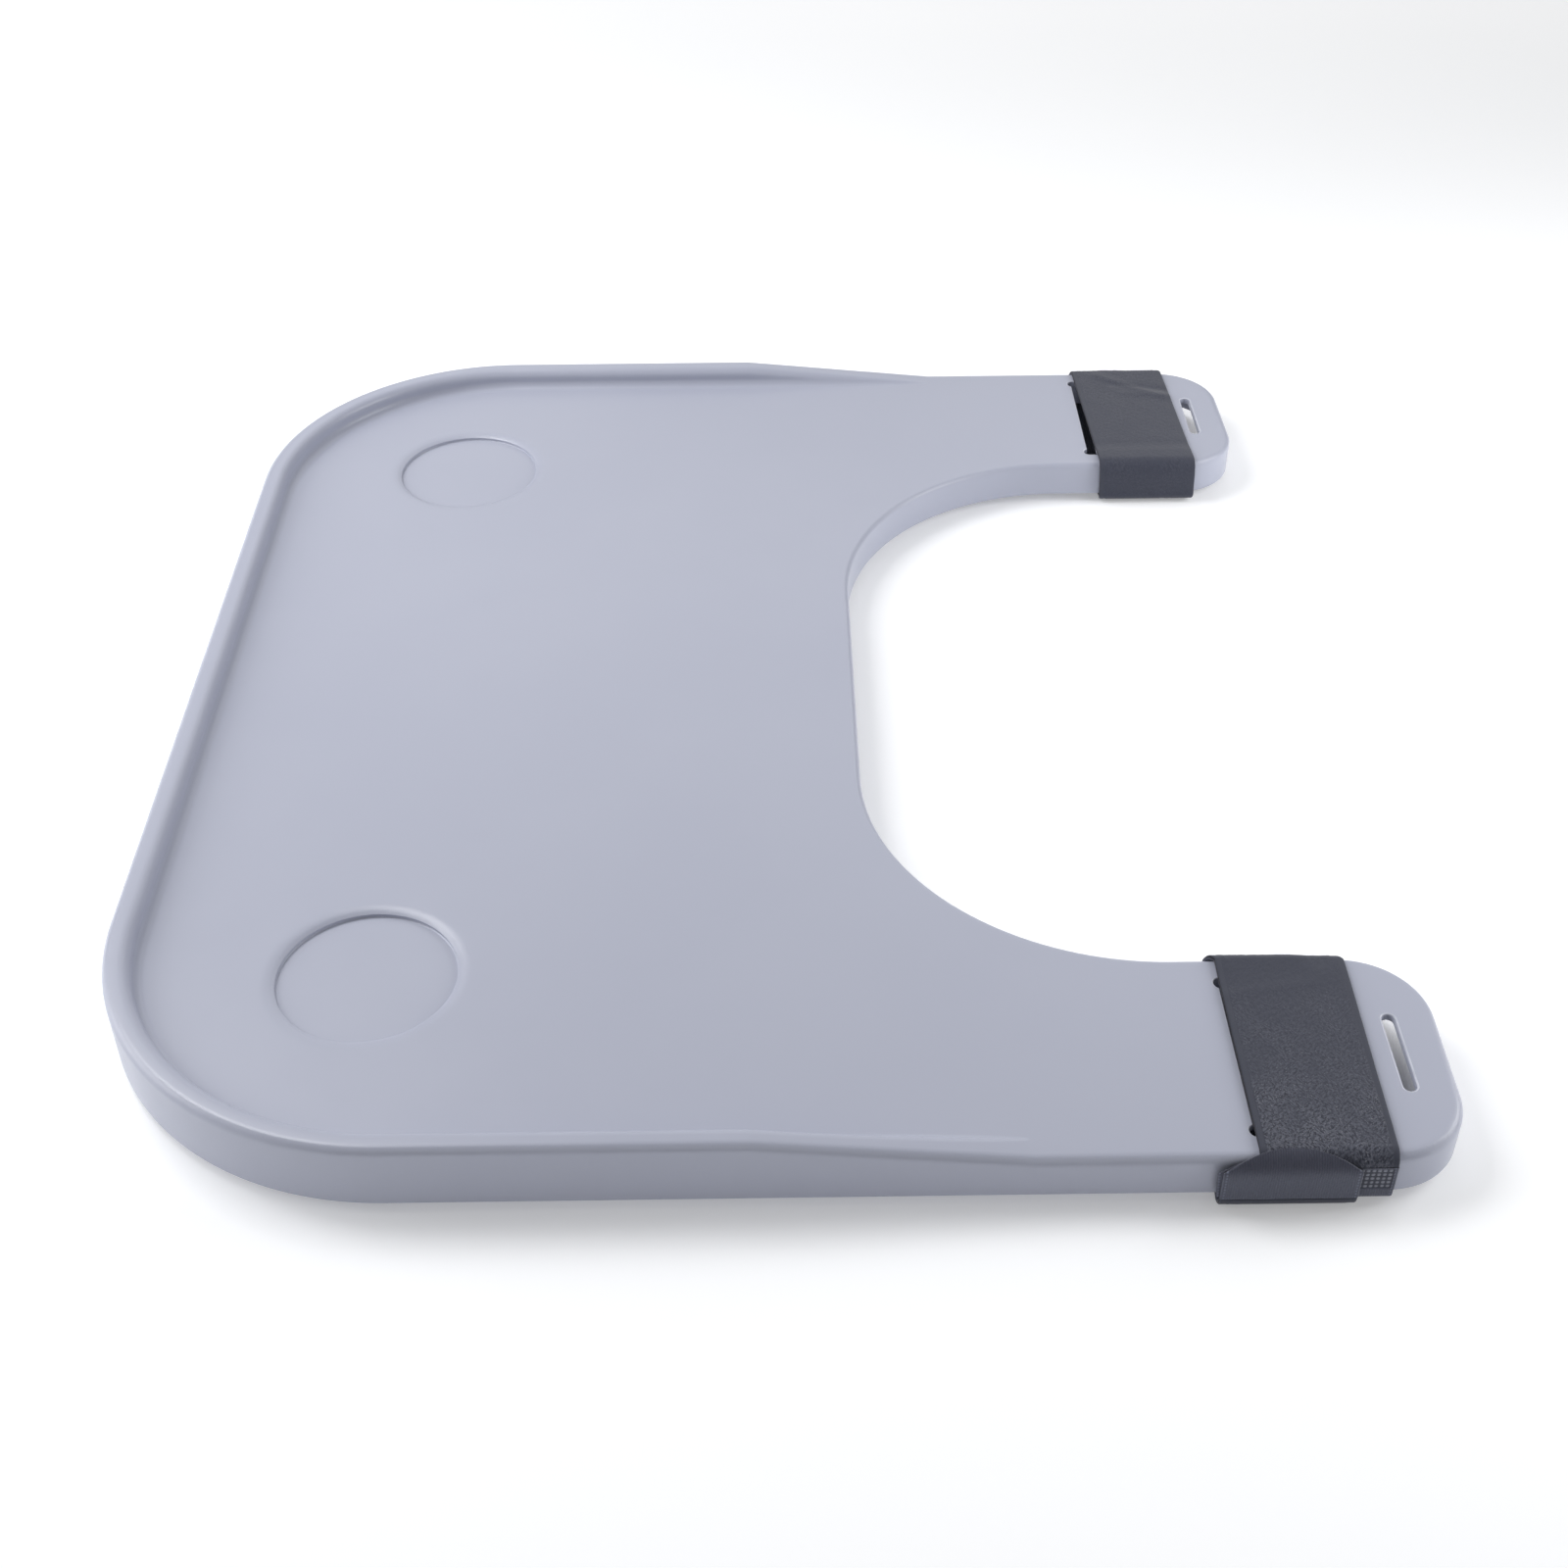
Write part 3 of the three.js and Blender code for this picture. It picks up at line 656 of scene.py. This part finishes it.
# Pressed weld: pale pillows between darker melted furrows
def weldMaterial(c):
    m = Nodes("weldPress")
    tape = tapeCoordinates(m)
    split = m.add("ShaderNodeSeparateXYZ", Vector=tape)
    alongWave, acrossWave = (
        m.plus(m.times(m.math("COSINE", m.times(split.outputs[i], fullTurn / c["pitch"])), 0.5), 0.5) for i in (0, 1))
    pillow = m.times(alongWave, acrossWave)
    grain = m.noise(tape, c["grainScale"], 3.0, 0.6)
    tone = m.times(pillow, m.plus(grain, 0.5))
    tone = m.times(tone, m.span(m.noise(tape, c["patchScale"], 1.0), *c["patchStops"], *c["patchTones"]))
    m.into("Base Color", m.shades(tone, c["toneStops"], c["dark"], c["light"]))
    m.into("Normal", m.bump(grain, 0.5, c["grainDepth"]))
    m.surface({"Roughness": c["rough"], "Specular IOR Level": c["specular"]})
    return m.material


cutSettings = {
    "dark": (0.040, 0.043, 0.054),
    "light": (0.078, 0.082, 0.100),
    "toneStops": (0.3, 0.7), "yarnScale": 2400.0, "yarnDepth": 0.0002,
    "rough": 0.8,
}


# Cut end of a tape: slightly melted yarn ends
def cutMaterial(c):
    m = Nodes("cutEdge")
    place = m.add("ShaderNodeTexCoord").outputs["Object"]
    yarn = m.noise(place, c["yarnScale"], 2.0, 0.6)
    m.into("Base Color", m.shades(yarn, c["toneStops"], c["dark"], c["light"]))
    m.into("Normal", m.bump(yarn, 0.6, c["yarnDepth"]))
    m.surface({"Roughness": c["rough"]})
    return m.material


hookFaceSettings = {
    "ground": (0.050, 0.052, 0.062),
    "tips": (0.170, 0.175, 0.190),
    "pitchAlong": 1.5, "pitchAcross": 1.2, "hookStops": (0.5, 1.6), "depth": 0.0007,
    "brokenScale": 1.4, "brokenStops": (0.3, 0.6), "brokenLeast": 0.35,
    "rough": 0.45,
}


# Hook side: rows of small nylon hooks, every second row half a step over, on a dark ground
def hookFaceMaterial(c):
    m = Nodes("hookFace")
    tape = tapeCoordinates(m)
    split = m.add("ShaderNodeSeparateXYZ", Vector=tape)
    along, across = split.outputs[0], split.outputs[1]
    row = m.math("FLOOR", m.math("DIVIDE", across, c["pitchAcross"]))
    stagger = m.times(m.math("MODULO", m.math("ABSOLUTE", row), 2.0), math.pi)
    alongWave = m.math("COSINE", m.plus(m.times(along, fullTurn / c["pitchAlong"]), stagger))
    acrossWave = m.math("COSINE", m.times(across, fullTurn / c["pitchAcross"]))
    hooks = m.span(m.minus(alongWave, acrossWave), *c["hookStops"])
    broken = m.span(m.noise(tape, c["brokenScale"], 1.0), *c["brokenStops"], c["brokenLeast"], 1.0)
    standing = m.times(hooks, broken)
    m.into("Base Color", m.shades(standing, (0.0, 1.0), c["ground"], c["tips"]))
    m.into("Normal", m.bump(standing, 1.0, c["depth"]))
    m.surface({"Roughness": c["rough"]})
    return m.material


loopWebbing = {"near": loopMaterial("loopWebbingNear", loopSettings),
               "far": loopMaterial("loopWebbingFar", {**loopSettings, **farLoopSettings})}
hookWebbing = hookMaterial(hookSettings)
hookFace = hookFaceMaterial(hookFaceSettings)
weldPress = weldMaterial(weldSettings)
cutEdge = cutMaterial(cutSettings)


# Straps, laid round the arms as in the source. Lengths in millimetres; waves as a count and the shortest and longest.
strapSettings = {
    "half": tapeHalf, "thick": 1.9, "gap": 0.3, "roundOff": 0.7,
    "weldThick": 0.8, "weldLow": 3.2, "weldHigh": 14.6, "weldRamp": 0.15,
    "tailRun": 60.0, "tailApproach": 14.0, "foldSlack": 1.0,
    "crease": 1.2, "tabRise": 8.7,
    "liningThick": 0.7, "liningGap": 0.05, "liningShort": 1.2, "liningShift": (1.6, 3.1),
    "swellHeight": 0.05, "slowWaves": (14, 9, 60), "pileHeight": 0.035, "fineWaves": (40, 1.7, 4.5),
    "selvageDrop": 0.10, "selvageRamp": 0.5,
    "ribHeight": 0.02, "tabHeight": 0.03, "tabWaves": (10, 8, 40),
    "step": 0.75, "leastStep": 0.05, "endClear": 0.02, "cornerSteps": 14, "roundSteps": 4, "domeSteps": 24,
    "across": 0.75, "fineAcross": 0.35, "sharpAngle": 60,
}


# Each strap's own lie: where its middle drifts to round the arm, how it lifts and spreads, and its soft creases,
# each from s, v to s, v with its width and height
strapPlaces = {
    "near": {
        "side": -1, "fromEnd": 54.7, "tabLength": 22.0, "seed": 11,
        "start": 0.0, "edge": 0.25, "top": 1.15, "fold": -2.5, "wall": -4.5, "tab": -13.0,
        "lift": ((-9, 0), (1, 0.15), (6, 0.15), (14, 0)), "skew": 1.0,
        "spread": ((20, 0), (117, 0.5), (127, 0)),
        "creases": ((30, 26, 52, 14, 4, 0.15), (97, -25, 103, 10, 3, 0.2), (117, 16, 121, 27, 6, -0.5)),
    },
    "far": {
        "side": 1, "fromEnd": 52.2, "tabLength": 15.4, "seed": 23,
        "start": -1.6, "edge": 0.0, "top": 3.2, "fold": 3.4, "wall": 4.5, "tab": -6.0,
        "lift": ((-14, 0), (0, 0.7), (8, 1.6), (20, 0)), "skew": 0.0,
        "spread": ((16, 0), (24, 0.4), (117, 0.5), (137, 0.5), (142, 0)),
        "creases": ((26, -12, 50, 20, 3.5, 0.5), (36, -4, 43, 26, 3, -0.4), (46, 0, 50, 25, 3, 0.25),
                    (101, -25, 101, 25, 3, -0.12), (109, -25, 109, 25, 3, 0.12), (128, -25, 127, 25, 3, -0.2)),
    },
}


# Way round an arm's section, up the outside wall from the hem, for a tape whose middle is off the arm by offset
def armPath(t, offset):
    side, inner = t["width"] / 2, t["width"] / 2 - t["armWidth"]
    outer, innerRound, hem, board = t["armEdge"], t["cutoutEdge"], t["hem"], t["board"]
    legs = []

    def straight(w, z, dw, dz, length):
        legs.append((length, lambda u: (w + dw * length * u, z + dz * length * u, dz, -dw)))

    def corner(w, z, radius, turn):
        def at(u):
            angle = quarter * (turn + u)
            return w + radius * math.cos(angle), z + radius * math.sin(angle), math.cos(angle), math.sin(angle)
        legs.append(((radius + offset) * quarter, at))

    straight(side, hem, 0, 1, board - hem - outer)
    corner(side - outer, board - outer, outer, 0)
    straight(side - outer, board, -1, 0, t["armWidth"] - outer - innerRound)
    corner(inner + innerRound, board - innerRound, innerRound, 1)
    straight(inner, board - innerRound, 0, -1, board - innerRound - hem)
    corner(inner + hem, hem, hem, 2)
    straight(inner + hem, 0, 1, 0, t["armWidth"] - 2 * hem)
    corner(side - hem, hem, hem, 3)
    joints = [0.0]
    for length, _ in legs:
        joints.append(joints[-1] + length)

    def at(s):
        local = s % joints[-1]
        leg = max(i for i in range(len(legs)) if joints[i] <= local + 1e-9)
        return legs[leg][1](min((local - joints[leg]) / legs[leg][0], 1.0))

    return joints, at


def clamp(value):
    return min(max(value, 0.0), 1.0)


# Places along a tape where it gets a row of points, closer together round the arm's corners
def stationsAlong(joints, start, end, k, extra=()):
    marks = []
    for turn in (0, joints[-1]):
        for i in range(len(joints) - 1):
            low, high = joints[i] + turn, joints[i + 1] + turn
            count = k["cornerSteps"] if i % 2 else max(int((high - low) / k["step"]), 1)
            marks += [low + (high - low) * u for u in shares(count)]
    between = sorted({round(s, 5) for s in [*marks, *extra] if start + k["endClear"] < s < end - k["endClear"]})
    kept = [start]
    for s in between:
        if s - kept[-1] > k["leastStep"]:
            kept.append(s)
    return kept + [end]


# Tape as a closed strip. shape(s) gives the inner and outer distance from the arm, the middle along the arm
# and half the width; relief(s, v) lifts its face, swell(s, v) both faces. Its sides are rounded off.
def makeTape(name, at, stations, shape, relief, place, k, materials, slotOf, across, swell=None):
    side, originX = place["side"], traySettings["length"] / 2 - place["fromEnd"]
    count = max(int(2 * k["half"] / across), 8)
    edgeShare = k["roundOff"] / k["half"]
    flatPart = [-(1 - edgeShare) + 2 * (1 - edgeShare) * u for u in shares(count)]
    left = [-1 + edgeShare * (1 - math.cos(quarter * u)) for u in shares(k["roundSteps"])]
    columns = sorted({round(v, 6) for v in [*left, *flatPart, *[-v for v in left]]})
    points, faces, uvs, picks = [], [], [], []
    width = len(columns)
    for s in stations:
        w, z, outW, outZ = at(s)
        inner, outer, middle, half = shape(s)
        for face in (1, 0):
            for v in (columns if face else reversed(columns)):
                fall = clamp((abs(v) - 1) * half / k["roundOff"] + 1)
                pinch = (outer - inner) * 0.5 * (1 - math.sqrt(max(1 - fall ** 2, 0.0)))
                off = outer - pinch + relief(s, v * half) if face else inner + pinch
                off += swell(s, v * half) if swell else 0.0
                x = originX + middle + v * half
                points.append((x * mm, side * (w + outW * off) * mm, (z + outZ * off + traySettings["lift"]) * mm))
                uvs.append((s, v * min(half, k["half"])))
    ring = 2 * width
    for row in range(len(stations) - 1):
        a, b = row * ring, (row + 1) * ring
        for i in range(ring):
            j = (i + 1) % ring
            faces.append((a + i, a + j, b + j, b + i))
            picks.append(slotOf(stations[row], uvs[a + i][1], i < width))
    last = (len(stations) - 1) * ring
    for i in range(width - 1):
        faces.append((i + 1, i, ring - 1 - i, ring - 2 - i))
        faces.append((last + i, last + i + 1, last + ring - 2 - i, last + ring - 1 - i))
        picks += [len(materials) - 1] * 2
    obj = meshObject(name, points, faces, materials[0])
    for extra in materials[1:]:
        obj.data.materials.append(extra)
    layer = obj.data.uv_layers.new(name="tape")
    corners = np.empty(len(obj.data.loops), dtype=np.int32)
    obj.data.loops.foreach_get("vertex_index", corners)
    layer.data.foreach_set("uv", np.array(uvs, dtype=np.float32)[corners].ravel())
    obj.data.polygons.foreach_set("material_index", np.array(picks, dtype=np.int32))
    return shaded(obj, k["sharpAngle"])


# Slow waves of a cloth's face: sums of sines with seeded directions
def waveField(seed, count, low, high):
    rng = np.random.default_rng(seed)
    turns = rng.uniform(0, fullTurn, count)
    lengths = np.exp(rng.uniform(math.log(low), math.log(high), count))
    phases = rng.uniform(0, fullTurn, count)
    kx, ky = fullTurn * np.cos(turns) / lengths, fullTurn * np.sin(turns) / lengths

    def height(s, v):
        return float(np.sum(np.sin(kx * s + ky * v + phases)) / math.sqrt(count))
    return height


def smooth(value):
    value = clamp(value)
    return value * value * (3 - 2 * value)


# Value at s between (place, value) marks, level at each mark
def eased(marks, s):
    if s <= marks[0][0]:
        return marks[0][1]
    for (low, first), (high, second) in zip(marks, marks[1:]):
        if s <= high:
            return first + (second - first) * smooth((s - low) / (high - low))
    return marks[-1][1]


# Soft folds of a face, each along a line from s, v to s, v with its width and height
def folds(lines, s, v):
    total = 0.0
    for s0, v0, s1, v1, width, height in lines:
        ds, dv = s1 - s0, v1 - v0
        share = clamp(((s - s0) * ds + (v - v0) * dv) / (ds * ds + dv * dv))
        total += height * math.exp(-(math.hypot(s - s0 - share * ds, v - v0 - share * dv) / width) ** 2)
    return total


# Main tape: fuzzy side out, with the smooth selvages a little lower than the pile
def makeLoopTape(name, place, k):
    joints, at = armPath(traySettings, k["gap"] + k["thick"] / 2)
    layer, hem, ramp = k["thick"] + k["gap"], traySettings["hem"], k["weldRamp"]
    weldEnd, weldStep = k["weldLow"] - hem, k["weldHigh"] + k["gap"] - hem
    tailEnd = joints[7] - k["tailRun"]
    rampStart, rampEnd = tailEnd - 2 * k["tailApproach"], tailEnd - k["tailApproach"]
    end = joints[8] + k["crease"] - hem
    slow, fine = waveField(place["seed"], *k["slowWaves"]), waveField(place["seed"] + 1, *k["fineWaves"])
    marks = [joints[i] for i in (1, 2, 3, 4, 6, 7)]
    drifts = [place[key] for key in ("start", "edge", "top", "fold", "wall", "tab")]

    def shape(s):
        slack = clamp((s - joints[4]) / (joints[5] - joints[4]))
        drop = clamp((s - rampStart) / (rampEnd - rampStart))
        sag = k["foldSlack"] * slack + eased(place["lift"], s - joints[3]) * (1 - drop)
        half = k["half"] + eased(place["spread"], s)
        inner = k["gap"] + sag + (layer - sag) * smooth(drop)
        thick = k["weldThick"] + (k["thick"] - k["weldThick"]) * smooth((s - weldStep + ramp) / ramp)
        return inner, inner + thick, float(np.interp(s, marks, drifts)), half

    def relief(s, v):
        if s < weldStep:
            return 0.0
        pile = smooth((k["half"] - loopSettings["selvageWidth"] - abs(v)) / k["selvageRamp"])
        lifted = (k["swellHeight"] * slow(s, v) - k["selvageDrop"] * (1 - pile) + k["pileHeight"] * pile * fine(s, v)
                  + folds(place["creases"], s, v))
        return lifted if s < joints[5] else min(lifted, 0.0)

    def swell(s, v):
        return -place["skew"] * eased(place["lift"], s - joints[3]) * v / k["half"]

    stations = stationsAlong(joints, weldEnd, end, k, (weldStep - ramp, weldStep))
    tape = makeTape(name + "LoopTape", at, stations, shape, relief, place, k,
                    [loopWebbing[name], hookWebbing, cutEdge], lambda s, v, face: 0 if face else 1,
                    k["across"], swell)
    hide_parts(name + "_loop_tape")
    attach(tape, name + "_strap")


# Inner hook tape with the pressed weld on the outside wall
def makeHookTail(name, place, k, weld):
    joints, at = armPath(traySettings, k["gap"] + k["thick"] / 2)
    layerOut = k["gap"] + k["thick"]
    start, hem = joints[7] - k["tailRun"], traySettings["hem"]
    weldStep = joints[8] + k["weldLow"] - k["gap"] - hem
    end = joints[8] + k["weldHigh"] - hem

    def shape(s):
        lap = smooth((s - weldStep) / k["weldRamp"])
        inner = k["gap"] + (layerOut - k["weldThick"] - k["gap"]) * lap
        return inner, layerOut, place["start"], k["half"]

    pressLow, pressHigh = weldStep + weld["startMargin"], end - weld["endMargin"]

    def pressed(s, v):
        return pressLow < s < pressHigh and abs(v) < k["half"] - weld["sideMargin"]

    def wave(position):
        return 0.5 + 0.5 * math.cos(fullTurn * position / weld["pitch"])

    def relief(s, v):
        return weld["pressDepth"] * (wave(s) * wave(v) - 1) if pressed(s, v) else 0.0

    rows = [weldStep + weld["rowStep"] * i for i in range(int((end - weldStep) / weld["rowStep"]))]
    stations = stationsAlong(joints, start, weldStep, k)[:-1] + rows
    stations = [s for s in stations if s < end - 0.1] + [end]
    tape = makeTape(name + "HookTail", at, stations, shape, relief, place, k,
                    [hookWebbing, weldPress, hookFace, cutEdge],
                    lambda s, v, face: (1 if pressed(s, v) else 0) if face else 2, k["fineAcross"])
    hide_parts(name + "_hook_tail")
    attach(tape, name + "_strap")


# Closing tab: two plies from the crease over the weld, with a round end that rolls over the top edge
def makeHookTab(name, place, k):
    inner = 2 * k["gap"] + k["thick"]
    outer = inner + k["thick"]
    joints, at = armPath(traySettings, (inner + outer) / 2)
    start = k["crease"] + k["gap"] - traySettings["hem"]
    end = start + place["tabLength"]
    radius = (k["half"] ** 2 + k["tabRise"] ** 2) / (2 * k["tabRise"])
    domeTurn = math.asin(k["half"] / radius)
    dome = [end - radius * (1 - math.cos(domeTurn * u)) for u in (1 / 60, *shares(k["domeSteps"])[1:])]
    slow = waveField(place["seed"] + 5, *k["tabWaves"])
    plies = []
    for ply, low, high, shorter in (("HookTab", inner + k["liningThick"] + k["liningGap"], outer, 0.0),
                                    ("TabLining", inner, inner + k["liningThick"], k["liningShort"])):
        def shape(s):
            rise = max(radius - (end - shorter - s), 0)
            width = k["half"] if s < end - shorter - k["tabRise"] else math.sqrt(max(radius ** 2 - rise ** 2, 0.2))
            shift = float(np.interp(s, (start, end), k["liningShift"])) if shorter else 0.0
            return low, high, place["tab"] - shift, min(width, k["half"]) - shorter / 2

        def relief(s, v):
            ribs = k["ribHeight"] * math.cos(fullTurn * v / hookSettings["rib"])
            return ribs + k["tabHeight"] * slow(s, v) if ply == "HookTab" else 0.0

        stations = stationsAlong(joints, start, dome[0] - shorter, k, [s - shorter for s in dome])
        piece = makeTape(name + ply, at, stations, shape, relief, place, k, [hookWebbing, hookFace, cutEdge],
                         lambda s, v, face: 0 if face else 1, k["fineAcross"])
        plies.append(piece)
    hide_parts(name + "_hook_tab")
    for piece in plies:
        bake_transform(piece)


for strapName, strapPlace in strapPlaces.items():
    makeLoopTape(strapName, strapPlace, strapSettings)
    makeHookTail(strapName, strapPlace, strapSettings, weldSettings)
    makeHookTab(strapName, strapPlace, strapSettings)
    print("stage: strap", strapName)


# Plain pale floor and soft studio light. The floor is lit through from below like a light table: its glow is dimmed
# beneath the near arm as a painted shadow, and is more far away, where the softboxes don't reach.
stageSettings = {
    "floorSize": 8.0,
    "floorColour": (0.86, 0.87, 0.89, 1), "floorDarker": 0.985, "floorScale": 3.0, "floorStops": (0.3, 0.7),
    "floorRough": 0.9,
    "floorGlow": 0.24,
    "armShadowGlow": (0.10, 0.10, 0.11),
    "armShadowX": (0.06, 0.12, 0.248, 0.253),
    "armShadowY": (-0.262, -0.250, -0.236, -0.198),
    "farGlow": (2.8, 2.8, 2.8),
    "farReach": (0.7, 1.8),
    "world": (1.0, 1.0, 1.0, 1),
    "worldStrength": 0.12,
    "softboxes": {
        "key": {"place": (-0.62, 0.22, 0.95), "size": 0.55, "power": 7.2},
        "overheadBack": {"place": (0.0, 0.9, 1.0), "size": 1.0, "power": 1.6},
        "left": {"place": (-1.3, 0.0, 0.55), "size": 0.9, "power": 10.2},
        "leftBack": {"place": (-1.0, 1.0, 0.8), "size": 0.8, "power": 1.1},
        "back": {"place": (0.0, 1.6, 0.5), "size": 1.2, "power": 2.3},
        "backRight": {"place": (0.6, 0.9, 0.9), "size": 0.8, "power": 1.0},
        "front": {"place": (0.0, -1.7, 0.9), "size": 1.0, "power": 2.9},
        "right": {"place": (0.8, 0.0, 0.4), "size": 0.5, "power": 4.0},
        "rightLow": {"place": (0.95, -0.45, 0.22), "size": 0.5, "power": 1.0},
    },
}


def makeFloor(c):
    half = c["floorSize"] / 2
    m = Nodes("floorPaper")
    place = m.add("ShaderNodeTexCoord").outputs["Object"]
    pale = c["floorColour"][:3]
    darker = tuple(c["floorDarker"] * v for v in pale)
    m.into("Base Color", m.shades(m.noise(place, c["floorScale"]), c["floorStops"], darker, pale))
    split = m.add("ShaderNodeSeparateXYZ", Vector=place)

    def within(position, marks):
        return m.times(m.span(position, *marks[:2]), m.span(position, *marks[2:], 1.0, 0.0))

    # Painted shadow: the glow is dimmed beneath the near arm
    armShadow = m.times(within(split.outputs[1], c["armShadowY"]), within(split.outputs[0], c["armShadowX"]))
    away = m.add("ShaderNodeVectorMath", {"operation": "LENGTH"}, Vector=place).outputs["Value"]
    glow = mixColour(m, m.span(away, *c["farReach"]), c["world"], c["farGlow"])
    m.into("Emission Color", mixColour(m, armShadow, glow, c["armShadowGlow"]))
    m.surface({"Roughness": c["floorRough"], "Emission Strength": c["floorGlow"]})
    points = [(-half, -half, 0), (half, -half, 0), (half, half, 0), (-half, half, 0)]
    floor = meshObject("floorSheet", points, [(0, 1, 2, 3)], m.material)


def makeLights(settings):
    world = bpy.data.worlds.new("studio")
    world.use_nodes = True
    background = next(n for n in world.node_tree.nodes if n.type == "BACKGROUND")
    background.inputs[0].default_value = settings["world"]
    background.inputs[1].default_value = settings["worldStrength"]
    scene.world = world
    for name, box in settings["softboxes"].items():
        light = bpy.data.lights.new(name, "AREA")
        light.shape = "SQUARE"
        light.size = box["size"]
        light.energy = box["power"]
        holder = bpy.data.objects.new(name, light)
        holder.location = box["place"]
        holder.rotation_euler = (-Vector(box["place"])).to_track_quat("-Z", "Y").to_euler()
        scene.collection.objects.link(holder)


makeFloor(stageSettings)
makeLights(stageSettings)
scene.view_settings.view_transform = "Standard"
print("stage: floor and light")
